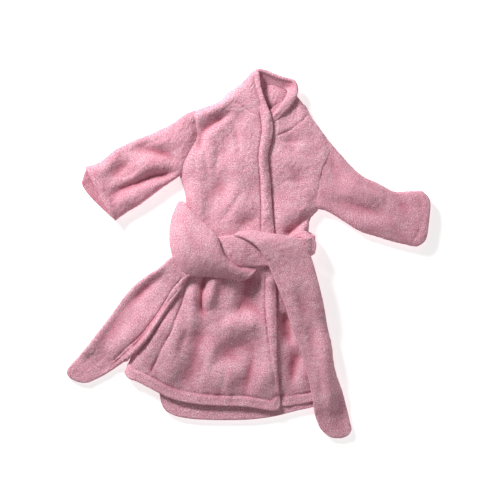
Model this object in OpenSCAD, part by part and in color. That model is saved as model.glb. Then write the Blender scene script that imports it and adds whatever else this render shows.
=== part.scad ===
// Small terry bathrobe, laid face up and tied with its sash.
// +Y runs up the table towards the collar, +Z is up off the table, the robe rests on Z = 0,
// and the origin is under the middle of the whole lay. Right and left are the wearer's.

/* [Robe] */
// Length from the top of the collar to the back hem
robe_length = 370; // [300:1:460]
// Height of the collar's top above the origin, along the robe
collar_top = 192.5; // [180:0.5:210]
// Distance between the tops of the two armholes
shoulder_w = 148; // [120:1:180]
// Distance between the two underarms
chest_w = 152; // [125:1:185]
// Width of the body at the sash
waist_w = 134; // [110:1:164]
// Width of the skirt at the two ends of the hem
hem_w = 230; // [190:1:280]
// How far the hem's middle hangs below its two ends
hem_drop = 38; // [20:1:60]
// How far the front hem stops short of the back hem
front_short = 14; // [6:1:24]
// Width of the neck between the shoulder seams
neck_w = 56; // [46:1:68]
// Height of the armhole
armhole_h = 64; // [52:1:78]
// Drop from the collar's top to the middle of the two shoulder points
shoulder_drop = 62.5; // [52:0.5:76]
// How much higher the right shoulder lies than the left
shoulder_slew = 20; // [0:1:24]
// How far the waist lies towards the right side of the straight centre line
bow = 5; // [0:1:8]
// How far the centre line leans to the robe's left
lean = 8.5; // [0:0.5:20]

/* [Cloth] */
// Thickness of the terry cloth with its loops
cloth = 3; // [2.4:0.1:3.8]
// Air between the back and the fronts
hollow = 9; // [7.5:0.5:12]
// Clearance between layers that are not sewn together
gap = 0.4; // [0.3:0.05:0.6]
// Height of a row of stitching above the cloth
thread = 0.5; // [0.4:0.1:0.8]
// Width of a row of stitching
thread_w = 1; // [0.8:0.1:1.6]
// Distance of the hem's stitching from the edge
hem_band = 12; // [9:0.5:15]

/* [Fronts] */
// Level of the point where the two fronts cross
cross_y = 151; // [140:1:160]
// How far a front's edge passes the centre line at the sash
lap_waist = 25; // [18:1:32]
// How far a front's edge passes the centre line at the hem
lap_hem = 57; // [44:1:70]
// Level at which the loose corner of the right front starts
corner_y = -50; // [-62:1:-44]
// How far the corner's fold reaches back along the hem
corner_back = 103; // [80:1:124]

/* [Collar] */
// Width of the collar band along the fronts
collar_w = 11.5; // [9:0.5:14]
// Height of the collar above the back neck seam
collar_h = 15.5; // [12:0.5:19]

/* [Sleeves] */
// Length of the right sleeve along its top edge
right_sleeve_l = 129.5; // [107:0.5:156]
// Length of the left sleeve along its top edge
left_sleeve_l = 115; // [95:0.5:138]
// How far the right sleeve points below level
right_sleeve_angle = 35.7; // [20:0.1:50]
// How far the left sleeve points below level
left_sleeve_angle = 15.5; // [5:0.1:40]
// Width of the right cuff as it lies
right_cuff_w = 63; // [52:1:76]
// Width of the left cuff as it lies
left_cuff_w = 56.5; // [47:0.5:68]
// Turn of the left cuff from square across the sleeve
left_cuff_turn = 20; // [0:1:25]
// Air inside a sleeve
sleeve_hollow = 9; // [7:0.5:12]

/* [Sash] */
// Width of the sash
sash_w = 48; // [40:1:58]
// Thickness of the doubled sash
sash_t = 4; // [3.2:0.1:4.8]
// Level of the sash's centre line
waist_y = 15; // [8:1:22]
// Width of the sash where it gathers at the side seams
gather_w = 26; // [20:1:32]
// Length of the right end below the knot
right_end_l = 154; // [128:1:185]
// Length of the left end below the knot
left_end_l = 182; // [152:1:220]
// Direction of the right end
right_end_angle = -126.4; // [-130:0.1:-122]
// Direction of the left end
left_end_angle = -66; // [-69:0.1:-62]
// Width of the right end where it leaves the knot
right_pinch = 30; // [25:1:36]
// Width of the left end where it leaves the knot
left_pinch = 44; // [37:1:48]
// Width of the left end, which lies part folded
left_end_w = 36; // [30:1:44]

/* [Belt loops] */
// Width of a loop's strip
loop_w = 8; // [6:0.5:10]
// Thickness of a loop's strip
loop_t = 2; // [1.6:0.1:2.6]

/* [Hidden] */
$fn = 96;
big = 600;
pink = [0.84, 0.62, 0.66];
rose = [0.78, 0.55, 0.60];
thread_pink = [0.70, 0.45, 0.52];

// heights of the layers, before the rise over the sash
rise = sash_t + gap;
left_z = cloth + hollow;
right_z = left_z + cloth + gap;
top_z = right_z + cloth;
run_z = top_z + rise + thread + gap;
knot_z = run_z + sash_t;
end_z = knot_z + gap;
lie_z = top_z + thread + gap; // an end lies on the skirt's stitching
sleeve_h = 2 * cloth + sleeve_hollow;
rise_half = sash_w / 2 + 4;
rise_ramp = 27;
wall = cloth * 1.2; // a sleeve's long edges, where the cloth turns back
seam = cloth * 1.4; // the shoulder seam, measured down the body

// levels and points of the body, laid straight up the centre line
neck_y = collar_top - collar_h;
hem_y = collar_top - robe_length;
hem_side_y = hem_y + hem_drop;
shoulder_y = collar_top - shoulder_drop;
side_half = sash_w / 2 + 8;
hem_radius = (hem_w * hem_w / 4 + hem_drop * hem_drop) / (2 * hem_drop);
function shoulder(s) = [s * shoulder_w / 2 - bow, shoulder_y - s * shoulder_slew / 2];
underarm_slide = 1.6 * bow;
function underarm(s) = [s * chest_w / 2 - underarm_slide, shoulder(s)[1] - armhole_h];
function waist_x(s) = s * waist_w / 2 - bow;
function move(p, d, a) = [p[0] + d * cos(a), p[1] + d * sin(a)];
function heading(p, q) = atan2(q[1] - p[1], q[0] - p[0]);
function edge_x(y) = y > waist_y ? lap_waist * (cross_y - y) / (cross_y - waist_y)
    : lap_waist + (lap_hem - lap_waist) * (waist_y - y) / (waist_y - front_corner_y);
front_corner_y = hem_y + front_short
    + hem_radius - sqrt(hem_radius * hem_radius - lap_hem * lap_hem);

// the fold line of the right front's loose corner
fold_top = [edge_x(corner_y), corner_y];
fold_foot = [lap_hem - corner_back, front_corner_y - 8];
fold_angle = heading(fold_top, fold_foot);

// where the sash's two ends leave the knot
right_root = [waist_x(-1) + 7, waist_y - sash_w * 0.76];
left_root = [waist_x(1) - 16, waist_y - sash_w * 0.48];

module as_laid() rotate([0, 0, -lean]) children();

// everything between two heights, both lifted where the sash passes underneath
module between(low, high) {
    function lifted(h) = [[-big, h], [waist_y - rise_half - rise_ramp, h],
        [waist_y - rise_half, h + rise], [waist_y + rise_half, h + rise],
        [waist_y + rise_half + rise_ramp, h], [big, h]];
    low_edge = lifted(low);
    high_edge = lifted(high);
    rotate([90, 0, 90]) linear_extrude(2 * big, center = true)
        polygon(concat(low_edge, [for (i = [len(high_edge) - 1:-1:0]) high_edge[i]]));
}

// a flat outline given a thickness that follows the rise over the sash
module layer(low, high) intersection() {
    linear_extrude(big) children();
    between(low, high);
}

// the body's outline from neck to hem; inset draws its sides inwards
module body_outline(inset = 0) {
    right_side = [[-neck_w / 2, neck_y - inset], shoulder(-1) + [inset, -inset],
        underarm(-1) + [inset, 0], [waist_x(-1) + inset, waist_y + side_half],
        [waist_x(-1) + inset, waist_y - side_half], [inset - hem_w / 2, hem_side_y],
        [inset - hem_w / 2, hem_y - 1]];
    left_side = [[hem_w / 2 - inset, hem_y - 1], [hem_w / 2 - inset, hem_side_y],
        [waist_x(1) - inset, waist_y - side_half], [waist_x(1) - inset, waist_y + side_half],
        underarm(1) - [inset, 0], shoulder(1) - [inset, inset], [neck_w / 2, neck_y - inset]];
    polygon(concat(right_side, left_side));
}

// all that lies above a round hem, lifted by short
module above_hem(short) {
    translate([0, hem_y + short + hem_radius]) circle(hem_radius);
    translate([-big, hem_side_y + short]) square([2 * big, big]);
}

// one front, from its side seam to its free edge; s is the side it is sewn to
module front_outline(s) intersection() {
    body_outline();
    above_hem(front_short);
    scale([-s, 1]) polygon([[-big, big], [-neck_w / 2, big], [-neck_w / 2, neck_y],
        [-collar_w, cross_y], [0, cross_y], [edge_x(waist_y), waist_y],
        [lap_hem, front_corner_y], [lap_hem, hem_y - 1], [-big, hem_y - 1]]);
}

// the half of the plane beyond the corner's fold, moved back by clear
module past_fold(clear) translate(fold_top) rotate([0, 0, fold_angle])
    translate([-big, clear]) square([2 * big, big]);

module back_panel() color(rose) as_laid() {
    layer(0, cloth) intersection() { body_outline(); above_hem(0); }
    side_seam(-1, right_z);
    side_seam(1, left_z);
}

// the wall that closes one side and shoulder, open at the armhole
module side_seam(s, high) layer(cloth, high) {
    side = [underarm(s), [waist_x(s), waist_y + side_half], [waist_x(s), waist_y - side_half],
        [s * hem_w / 2, hem_side_y + front_short]];
    shoulder_line = [[s * neck_w / 2, neck_y], shoulder(s)];
    for (line = [side, shoulder_line])
        polygon(concat(line, [for (i = [len(line) - 1:-1:0])
            line[i] - (line == side ? [s * cloth, 0] : [0, seam])]));
}

module left_front() color(pink) as_laid() layer(left_z, left_z + cloth) front_outline(1);

module right_front() color(pink) as_laid() layer(right_z, top_z)
    difference() { front_outline(-1); past_fold(-gap); }

module skirt_corner() color(pink) as_laid() layer(right_z, top_z)
    intersection() { front_outline(-1); past_fold(0); }

// the band that stands behind the neck and runs down both fronts to where they cross
module collar() color(pink) as_laid() {
    linear_extrude(2 * cloth) translate([-neck_w / 2, neck_y]) square([neck_w, collar_h]);
    for (s = [-1, 1]) {
        leg_z = s < 0 ? right_z : left_z;
        translate([s < 0 ? -neck_w / 2 : neck_w / 2 - collar_w, neck_y, 0])
            cube([collar_w, collar_h, leg_z + cloth]);
        translate([0, 0, leg_z]) linear_extrude(cloth) polygon([[s * neck_w / 2, neck_y],
            [s * collar_w, cross_y], [0, cross_y], [s * (neck_w / 2 - collar_w), neck_y]]);
    }
}

// corners of a sleeve: armhole top, underarm, cuff bottom, cuff top
function sleeve_corners(s, length, angle, cuff, turn) = let (
    out = s < 0 ? 180 + angle : -angle,
    top = shoulder(s) + [s * gap, 0], under = underarm(s) + [s * gap, 0],
    cuff_top = move(top, length, out), cuff_foot = move(cuff_top, cuff, out - s * 90 + s * turn))
    [top, under, cuff_foot, cuff_top];

// a flattened tube of cloth, open at the armhole and at the cuff
module sleeve(corners) {
    top = corners[0]; under = corners[1]; foot = corners[2]; cuff = corners[3];
    upper = heading(top, cuff);
    lower = heading(under, foot);
    difference() {
        linear_extrude(sleeve_h) polygon(corners);
        translate([0, 0, cloth]) linear_extrude(sleeve_hollow) polygon([
            move(top + [0, -wall], -20, upper), move(under + [0, wall], -20, lower),
            move(foot + [0, wall], 20, lower), move(cuff + [0, -wall], 20, upper)]);
    }
}
right_corners = sleeve_corners(-1, right_sleeve_l, right_sleeve_angle, right_cuff_w, 0);
left_corners = sleeve_corners(1, left_sleeve_l, left_sleeve_angle, left_cuff_w, left_cuff_turn);
module right_sleeve() color(rose) as_laid() sleeve(right_corners);
module left_sleeve() color(rose) as_laid() sleeve(left_corners);

// a strip sewn to the side seam above and below the sash, which passes under it
module belt_loop(s) translate([waist_x(s), waist_y, left_z / 2 + rise / 2]) {
    out = sash_t + 2 * gap;
    length = gather_w + 2 * gap + 2 * loop_t;
    linear_extrude(loop_w) scale([s, 1]) difference() {
        translate([0, -length / 2]) square([out + loop_t, length]);
        translate([-1, loop_t - length / 2]) square([out + 1, length - 2 * loop_t]);
    }
}
module right_belt_loop() color(rose) as_laid() belt_loop(-1);
module left_belt_loop() color(rose) as_laid() belt_loop(1);

// the sash's run round the body: flat behind, gathered at the sides, flat in front
module sash_waist() color(rose) as_laid() {
    inner = waist_w + 2 * gap;
    outer = inner + 2 * sash_t;
    translate([-bow, waist_y, 0]) {
        for (z = [0, run_z]) translate([-outer / 2, -sash_w / 2, z]) cube([outer, sash_w, sash_t]);
        for (s = [-1, 1]) translate([s * (inner + sash_t) / 2, 0, knot_z / 2])
            cube([sash_t, gather_w, knot_z], center = true);
    }
}

// a point across an end's root, set back by clear
function root_point(root, angle, across, clear) =
    move(move(root, across, angle + 90), -clear, angle);

// the half knot: a wide strand that crosses the run and folds over it
module sash_knot() color(pink) as_laid() translate([0, 0, knot_z]) linear_extrude(sash_t)
    polygon([[waist_x(-1) + 1, waist_y + sash_w * 0.6], [waist_x(-1) - 12, waist_y + sash_w * 0.44],
        [waist_x(-1) - 12, waist_y + 3],
        root_point(right_root, right_end_angle, -right_pinch / 2, gap),
        root_point(right_root, right_end_angle, right_pinch / 2, gap),
        [0, waist_y - sash_w * 0.8],
        root_point(left_root, left_end_angle, -left_pinch / 2, gap),
        root_point(left_root, left_end_angle, left_pinch / 2, gap),
        [waist_x(1) - 6, waist_y + 3], [waist_x(1) - 17, waist_y + 9], [7, waist_y + 7],
        [waist_x(-1) + 35, waist_y], [waist_x(-1) + 18, waist_y + 11]]);

// how far along an end the back hem lies, measured along the end's inner edge
function hem_reach(root, angle, across) = let (
    from = root_point(root, angle, across, 0) - [0, hem_y + hem_radius],
    ahead = from * [cos(angle), sin(angle)])
    sqrt(ahead * ahead - from * from + hem_radius * hem_radius) - ahead;

// side view of an end: level over the knot, down onto the skirt, and past the hem down to
// the table, if the end is long enough to pass it
function end_profile(length, level, reach) = concat(
    [[0, end_z], [level, end_z], [level + 25, lie_z]],
    reach < length - 16 ? [[reach, lie_z], [length - 4, 0], [length, 0]]
        : [[length, lie_z]]);
function raised(line, h) = [for (p = line) [p[0], p[1] + h]];
function reversed(line) = [for (i = [len(line) - 1:-1:0]) line[i]];

// a strip with that side view, from low to high above its underside
module end_strip(root, angle, profile, low, high) translate(root) rotate([0, 0, angle])
    intersection() {
        rotate([90, 0, 0]) linear_extrude(big, center = true)
            polygon(concat(raised(profile, low), reversed(raised(profile, high))));
        translate([0, 0, -1]) linear_extrude(big) children();
    }
module end_outline(length, pinch, w)
    polygon([[0, -pinch / 2], [24, -w / 2], [length - 14, -w / 2], [length, 2 - w / 2],
        [length, w / 2 - 10], [length - 14, w / 2], [24, w / 2], [0, pinch / 2]]);
right_profile = end_profile(right_end_l, 6,
    hem_reach(right_root, right_end_angle, sash_w / 2) + 4);
left_profile = end_profile(left_end_l, 13,
    hem_reach(left_root, left_end_angle, -left_end_w / 2) + 4);

module sash_right_end() color(pink) as_laid()
    end_strip(right_root, right_end_angle, right_profile, 0, sash_t)
        end_outline(right_end_l, right_pinch, sash_w);
module sash_left_end() color(pink) as_laid()
    end_strip(left_root, left_end_angle, left_profile, 0, sash_t)
        end_outline(left_end_l, left_pinch, left_end_w);

// stitching down the right front's edge, a band's width in
module edge_row() polygon([for (p = [[cross_y, 0], [waist_y, 0], [corner_y - 200, 0],
    [corner_y - 200, thread_w], [waist_y, thread_w], [cross_y, thread_w]])
    [edge_x(p[0]) - hem_band + p[1], p[0]]]);
// stitching round a hem, a band's width up
module hem_row(short) difference() {
    intersection() { body_outline(cloth); above_hem(short + hem_band); }
    above_hem(short + hem_band + thread_w);
}
module front_stitching() color(thread_pink) as_laid() layer(top_z, top_z + thread)
    difference() { intersection() { edge_row(); front_outline(-1); } past_fold(-gap); }
module corner_stitching() color(thread_pink) as_laid() layer(top_z, top_z + thread)
    intersection() { union() { edge_row(); hem_row(front_short); } front_outline(-1); past_fold(0); }
module hem_stitching() color(thread_pink) as_laid() layer(top_z, top_z + thread)
    difference() { intersection() { hem_row(front_short); front_outline(-1); } past_fold(-gap); }

// stitching across a sleeve's top face, a band's width from the cuff
module cuff_row(corners) translate([0, 0, sleeve_h]) linear_extrude(thread) {
    back = heading(corners[3], corners[0]);
    polygon([for (p = [[3, hem_band], [3, hem_band + thread_w], [2, hem_band + thread_w],
        [2, hem_band]]) move(corners[p[0]], p[1], p[0] == 3 ? back : heading(corners[2], corners[1]))]);
}
module right_cuff_stitching() color(thread_pink) as_laid() cuff_row(right_corners);
module left_cuff_stitching() color(thread_pink) as_laid() cuff_row(left_corners);

module end_row(length, w) translate([24, 6 - w / 2]) square([length - 40, thread_w]);
module right_end_stitching() color(thread_pink) as_laid()
    end_strip(right_root, right_end_angle, right_profile, sash_t, sash_t + thread)
        end_row(right_end_l, sash_w);
module left_end_stitching() color(thread_pink) as_laid()
    end_strip(left_root, left_end_angle, left_profile, sash_t, sash_t + thread)
        end_row(left_end_l, left_end_w);

back_panel();
left_front();
right_front();
skirt_corner();
collar();
right_sleeve();
left_sleeve();
right_belt_loop();
left_belt_loop();
sash_waist();
sash_knot();
sash_right_end();
sash_left_end();
front_stitching();
corner_stitching();
hem_stitching();
right_cuff_stitching();
left_cuff_stitching();
right_end_stitching();
left_end_stitching();
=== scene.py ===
# %% [markdown]
# # A small terry bathrobe, laid flat and tied
#
# The robe is cut from terry, a cotton cloth with short loops on both faces. It lies face up,
# wrapped right over left and tied with a wide sash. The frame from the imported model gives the
# sizes, and every piece below is modelled round it, in metres, in the same place.

import math

import bpy
import numpy as np
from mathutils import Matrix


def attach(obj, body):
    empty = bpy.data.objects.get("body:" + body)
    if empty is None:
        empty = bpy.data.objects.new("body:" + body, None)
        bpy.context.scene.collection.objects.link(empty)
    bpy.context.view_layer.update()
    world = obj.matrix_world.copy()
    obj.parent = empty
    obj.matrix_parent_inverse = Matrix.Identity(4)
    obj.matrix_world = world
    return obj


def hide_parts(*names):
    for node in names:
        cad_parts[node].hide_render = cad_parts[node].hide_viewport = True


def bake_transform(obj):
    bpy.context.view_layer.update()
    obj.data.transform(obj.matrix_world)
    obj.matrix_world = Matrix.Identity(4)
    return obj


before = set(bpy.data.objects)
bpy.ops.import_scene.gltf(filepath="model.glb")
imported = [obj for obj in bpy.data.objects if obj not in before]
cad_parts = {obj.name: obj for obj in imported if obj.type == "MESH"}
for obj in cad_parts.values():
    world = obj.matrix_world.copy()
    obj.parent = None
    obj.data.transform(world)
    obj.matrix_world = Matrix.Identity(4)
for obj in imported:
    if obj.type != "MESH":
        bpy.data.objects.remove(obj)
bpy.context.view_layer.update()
MM = 0.001
LEAN = math.radians(8.5)

# %% [markdown]
# ## Numbers that the whole robe shares
#
# Terry is thick: about 3 mm with its loops. The two fronts and the back lie in layers, so each
# layer has a level of its own above the table. The sash passes behind the back, so the body is
# lifted a little at the waist. All lengths here are millimetres, because that is how a
# garment maker measures; the last step of every piece turns them into metres.

# %% Shared sizes
CLOTH = 3.0
SASH = 5.2
STEP = 1.25
COLLAR = 4.2
STRIP = 2.6
BACK_LEVEL = 1.9
LEFT_LEVEL = 13.2
RIGHT_LEVEL = 15.6
EDGE_FOOT = BACK_LEVEL + 1
HEM_BAND = 11.5
TABLE_GAP = 0.05
SASH_LIFT = 4.4
COVER_GAP = 1.5
REST_GAP = 0.6
ARMHOLE = 3.5
print("cloth", CLOTH, "mm, sash", SASH, "mm, grid", STEP, "mm")

# %% [markdown]
# ## Curves through a few points
#
# A pattern cutter draws an edge through a few marks with a curved ruler. This does the same:
# a smooth curve (a Catmull-Rom spline) through rows of given numbers. Every column is
# carried along together, so one row can hold the two ends of a strip and its height.

# %% Smooth curve through rows
def smooth(rows, where):
    rows = np.array(rows, float)
    step = np.linalg.norm(np.diff(rows[:, :3], axis=0), axis=1)
    if rows.shape[1] >= 6:
        step = (step + np.linalg.norm(np.diff(rows[:, 3:6], axis=0), axis=1)) / 2
    at = np.concatenate([[0], np.cumsum(np.maximum(step, 1e-6))])
    slope = np.gradient(rows, at, axis=0)
    s = np.clip(where, 0, 1) * at[-1]
    i = np.clip(np.searchsorted(at, s, side="right") - 1, 0, len(at) - 2)
    h = (at[i + 1] - at[i])[:, None]
    t = ((s - at[i]) / h[:, 0])[:, None]
    return ((2 * t**3 - 3 * t**2 + 1) * rows[i] + (t**3 - 2 * t**2 + t) * h * slope[i]
            + (3 * t**2 - 2 * t**3) * rows[i + 1] + (t**3 - t**2) * h * slope[i + 1])


def spaced(length, rim=3.0):
    """Places from 0 to 1 along a length in mm, a grid step apart, closer by the two rims."""
    close = np.array([0, 0.12, 0.45, 0.95, 1.6]) * rim / 3
    inner = np.arange(2.4 * rim / 3, length - 2.4 * rim / 3, STEP)
    inner = np.linspace(inner[0], length - inner[0], len(inner))
    return np.concatenate([close, inner, length - close[::-1]]) / length


print("a 100 mm edge gets", len(spaced(100)), "places")

# %% [markdown]
# ## Folds
#
# Cloth that lies on a table shows its shape by its folds. Each fold here is a line with a
# height: a valley is negative and a ridge is positive. It fades to either side over its own
# width, so a fold can be steep on one side and soft on the other, as a fold that leans is.

# %% Fold heights
def near(x, y, path):
    """Distance from points to a smooth path, the side that they lie on, and how far along."""
    if len(path) > 2:
        path = smooth([[*p, 0] for p in path], np.linspace(0, 1, 4 * len(path)))[:, :2]
    path = np.array(path, float)
    best = np.full(x.shape, 1e9)
    side = np.zeros(x.shape)
    along = np.zeros(x.shape)
    lengths = np.concatenate([[0], np.cumsum(np.linalg.norm(np.diff(path, axis=0), axis=1))])
    for i, (p, q) in enumerate(zip(path[:-1], path[1:])):
        d = q - p
        size = max(d @ d, 1e-9)
        t = np.clip(((x - p[0]) * d[0] + (y - p[1]) * d[1]) / size, 0, 1)
        away = np.hypot(x - p[0] - t * d[0], y - p[1] - t * d[1])
        closer = away < best
        best = np.where(closer, away, best)
        side = np.where(closer, np.sign(d[0] * (y - p[1]) - d[1] * (x - p[0])), side)
        along = np.where(closer, (lengths[i] + t * math.sqrt(size)) / lengths[-1], along)
    return best, side, along


def ease(t):
    t = np.clip(t, 0, 1)
    return t * t * (3 - 2 * t)


def fold(x, y, height, left, right, path, fade=0.45):
    """One fold: its height along the path, and its widths to the left and right of it."""
    away, side, along = near(x, y, path)
    wide = np.where(side > 0, left, right)
    return height * np.exp(-((away / wide) ** 2)) * ease(along / fade) * ease((1 - along) / fade)


def folds(x, y, table, depth=1.0):
    return depth * sum(fold(x, y, *row) for row in table)


def rounded(d, radius):
    """From 0 at an edge up to 1, as a quarter circle of that radius."""
    return np.sqrt(1 - (1 - np.clip(d / radius, 0, 1)) ** 2)


def wrinkles(x, y, heading=90, height=1.0):
    """The soft lumps that thick cloth keeps when it has been laid down, longer one way."""
    c, t = math.cos(math.radians(heading)), math.sin(math.radians(heading))
    along, across = x * c + y * t, y * c - x * t
    bend = 5 * relief(along / 31 + 17, across / 37 + 5)
    long = relief(along / 34 + 3, (across + bend) / 15 + 51)
    short = relief(along / 15 + 61, (across - bend) / 9 + 13)
    return height * (0.95 * long + 0.45 * short)


def over_sash(x, y):
    """How far the sash's run behind the body lifts what lies over it."""
    v = x * math.sin(LEAN) + y * math.cos(LEAN)
    return SASH_LIFT * ease((55 - abs(v - 15)) / 27)


print("a fold 4 mm deep is", round(float(fold(np.array([0.]), np.array([0.]), -4, 5, 5,
      [(-9, 0), (9, 0)])[0]), 2), "mm at its middle")

# %% [markdown]
# ## The loop pile
#
# One loop of terry is a little over 1 mm across, too fine to model by hand. The loops stand in
# small tufts, so the surface of every piece is raised and lowered by a soft random relief, about
# 2 to 3 mm from hill to hill, which follows the cloth. It is real relief in the mesh, so the
# outline is soft too.

# %% Random relief with a fixed seed
PILE_FINE = 1.9
PILE_TUFT = 3.4
PILE_DRIFT = 13
LATTICE = 256
lattice = np.random.default_rng(11).random((LATTICE, LATTICE))


def relief(u, v):
    """Smooth random numbers from -1 to 1, one hill or hollow for each unit of u and v."""
    i, j = np.floor(u).astype(int), np.floor(v).astype(int)
    s, t = ease(u - i), ease(v - j)
    i0, i1, j0, j1 = i % LATTICE, (i + 1) % LATTICE, j % LATTICE, (j + 1) % LATTICE
    low = lattice[i0, j0] * (1 - s) + lattice[i1, j0] * s
    high = lattice[i0, j1] * (1 - s) + lattice[i1, j1] * s
    return 2 * (low * (1 - t) + high * t) - 1


def pile(u, v, height):
    fine = relief(u / PILE_FINE, v / PILE_FINE) * 0.62
    tufts = relief(u / PILE_TUFT + 40, v / PILE_TUFT + 9) * 0.38
    drift = relief(u / PILE_DRIFT + 7, v / PILE_DRIFT + 70) * 0.5
    return height * (fine + tufts + drift)


print("pile samples:", np.round(pile(np.arange(4.), np.arange(4.), 0.5), 2))

# %% [markdown]
# ## From a surface to cloth
#
# A piece starts as a grid of points on its middle surface. This gives it its thickness on both
# sides, thinned to nothing at a free edge so that the edge comes out round, adds the pile, and
# joins the two faces into one closed mesh. It also stores the distance along the cloth as the
# piece's own UV map, in metres, so that the pile's colour follows the cloth when it bends.

# %% Build a closed piece of cloth
SOFTENING = 70


def cloth(name, grid, thick, material, tube=False, loops=0.5):
    rows, cols = grid.shape[:2]
    wide = np.linalg.norm(np.diff(grid, axis=1), axis=2)
    long = np.linalg.norm(np.diff(grid, axis=0), axis=2)
    u = np.concatenate([np.zeros((rows, 1)), np.cumsum(wide, axis=1)], axis=1)
    v = np.concatenate([np.zeros((1, cols)), np.cumsum(long, axis=0)], axis=0)
    v = np.repeat(v.mean(axis=1)[:, None], cols, axis=1)
    edge = np.minimum(v, v[-1:] - v)
    if not tube:
        edge = np.minimum(edge, np.minimum(u, u[:, -1:] - u))
    u_mid = u - u[:, -1:] / 2
    if tube:
        around = np.concatenate([grid[:, -1:], grid, grid[:, :1]], axis=1)
        du = around[:, 2:] - around[:, :-2]
    else:
        du = np.gradient(grid, axis=1)
    dv = np.gradient(grid, axis=0)
    normal = np.cross(du, dv)
    normal /= np.maximum(np.linalg.norm(normal, axis=2, keepdims=True), 1e-9)
    # Painted shade: a much smoothed copy of the surface shows how deep each point lies in a
    # crease, for the darker colour there.
    soft = grid.copy()
    for _ in range(SOFTENING):
        soft[1:-1, 1:-1] = (soft[:-2, 1:-1] + soft[2:, 1:-1] + soft[1:-1, :-2]
                            + soft[1:-1, 2:]) / 4
    hollow = ((soft - grid) * normal).sum(axis=2) / 2.6 * ease(edge / 7)
    half = (thick / 2 * rounded(edge, np.asarray(thick) / 2))[..., None]
    fade = rounded(edge, 1.2)[..., None]
    front = grid + normal * (half + pile(u_mid, v, loops)[..., None] * fade)
    back = grid - normal * (half + pile(u_mid + 90, v + 40, loops)[..., None] * fade)
    points = np.concatenate([front.reshape(-1, 3), back.reshape(-1, 3)])
    points[:, 2] = np.maximum(points[:, 2], TABLE_GAP)
    index = np.arange(rows * cols).reshape(rows, cols)
    under = index + rows * cols
    under[0] = index[0]
    under[-1] = index[-1]
    if not tube:
        under[:, 0] = index[:, 0]
        under[:, -1] = index[:, -1]
    right = np.roll(index, -1, axis=1) if tube else index[:, 1:]
    right_under = np.roll(under, -1, axis=1) if tube else under[:, 1:]
    here, here_under = (index, under) if tube else (index[:, :-1], under[:, :-1])
    top = np.stack([here[:-1], right[:-1], right[1:], here[1:]], axis=-1).reshape(-1, 4)
    low = np.stack([here_under[:-1], here_under[1:], right_under[1:], right_under[:-1]],
                   axis=-1).reshape(-1, 4)
    faces = np.concatenate([top, low])
    used = np.zeros(len(points), bool)
    used[faces.ravel()] = True
    new = np.cumsum(used) - 1
    mesh = bpy.data.meshes.new(name)
    mesh.from_pydata((points[used] * MM).tolist(), [], new[faces].tolist())
    flat = np.stack([u_mid, v], axis=-1).reshape(-1, 2)
    flat = np.concatenate([flat, flat + [90, 40]]) * MM
    layer = mesh.uv_layers.new(name="UVMap")
    layer.data.foreach_set("uv", flat[faces.ravel()].ravel())
    # Painted shade: the crease depth, and a fixed amount on the inside of a tube, go into the
    # 'fold' attribute, which darkens the colour towards a richer one.
    inside = 0.35 if tube else 0.0
    depth = np.concatenate([hollow.ravel(), np.maximum(-hollow, inside).ravel()])[used]
    depth = np.clip(depth, 0, 1) * 0.6
    mesh.attributes.new("fold", "FLOAT", "POINT").data.foreach_set("value", depth.ravel())
    mesh.shade_smooth()
    mesh.materials.append(material)
    piece = bpy.data.objects.new(name, mesh)
    bpy.context.scene.collection.objects.link(piece)
    mesh.update()
    corner = grid[:-1, :-1]
    cells = np.linalg.norm(np.cross(grid[:-1, 1:] - corner, grid[1:, :-1] - corner), axis=2)
    print(name, "has", len(faces) * 2, "triangles and", round(float(cells.sum() / 100)), "cm2")
    return piece


def strip(rows, width, length, tip=None, reach=16):
    """A grid between two edges. A row is left x y z, right x y z, then a bow x y z."""
    table = [list(r) + [0] * (9 - len(r)) for r in rows]
    along = smooth(table, spaced(length))
    across = spaced(width)[None, :, None]
    left, right = along[:, None, 0:3], along[:, None, 3:6]
    hump = 4 * across * (1 - across)
    grid = left * (1 - across) + right * across + hump * along[:, None, 6:9]
    if tip is not None:
        line = smooth([[*p, 0] for p in tip], across[0, :, 0])
        late = ease((spaced(length) * length - (length - reach)) / reach)
        grid[..., :2] += late[:, None, None] * (line[None, :, :2] - grid[-1:, :, :2])
    return grid


# %% [markdown]
# ## Terry cotton
#
# Terry is matte: each loop scatters light, and the loops that catch it edge-on give a pale
# bloom, which the sheen stands for. Between the loops it is darker and richer in colour. The
# grain is a noise the size of a loop, and a wider one where the pile lies differently. The
# bump is finer than the mesh's own relief, as the strands of a loop are. Painted shade: in the
# valleys of the folds, and on the inside of the sleeves, the colour is mixed towards a darker,
# richer one, for the light that bounces from cloth to cloth there.

# %% Material helpers
LOOP = 1.25
RIB = 2.0
PATCH = 14
BUMP_DEPTH = 0.7 * MM


def srgb(hex_code):
    parts = [int(hex_code[i:i + 2], 16) / 255 for i in (1, 3, 5)]
    return [c / 12.92 if c <= 0.04045 else ((c + 0.055) / 1.055) ** 2.4 for c in parts] + [1]


def add(tree, kind, settings=(), **links):
    """Adds a node, sets its sockets and properties, and links what is another node's output."""
    node = tree.nodes.new(kind)
    for name, value in dict(settings).items():
        if hasattr(node, name):
            setattr(node, name, value)
        else:
            node.inputs[name].default_value = value
    for name, output in links.items():
        key = int(name[1:]) if name[1:].isdigit() else name.replace("_", " ")
        tree.links.new(output, node.inputs[key])
    return node


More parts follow.
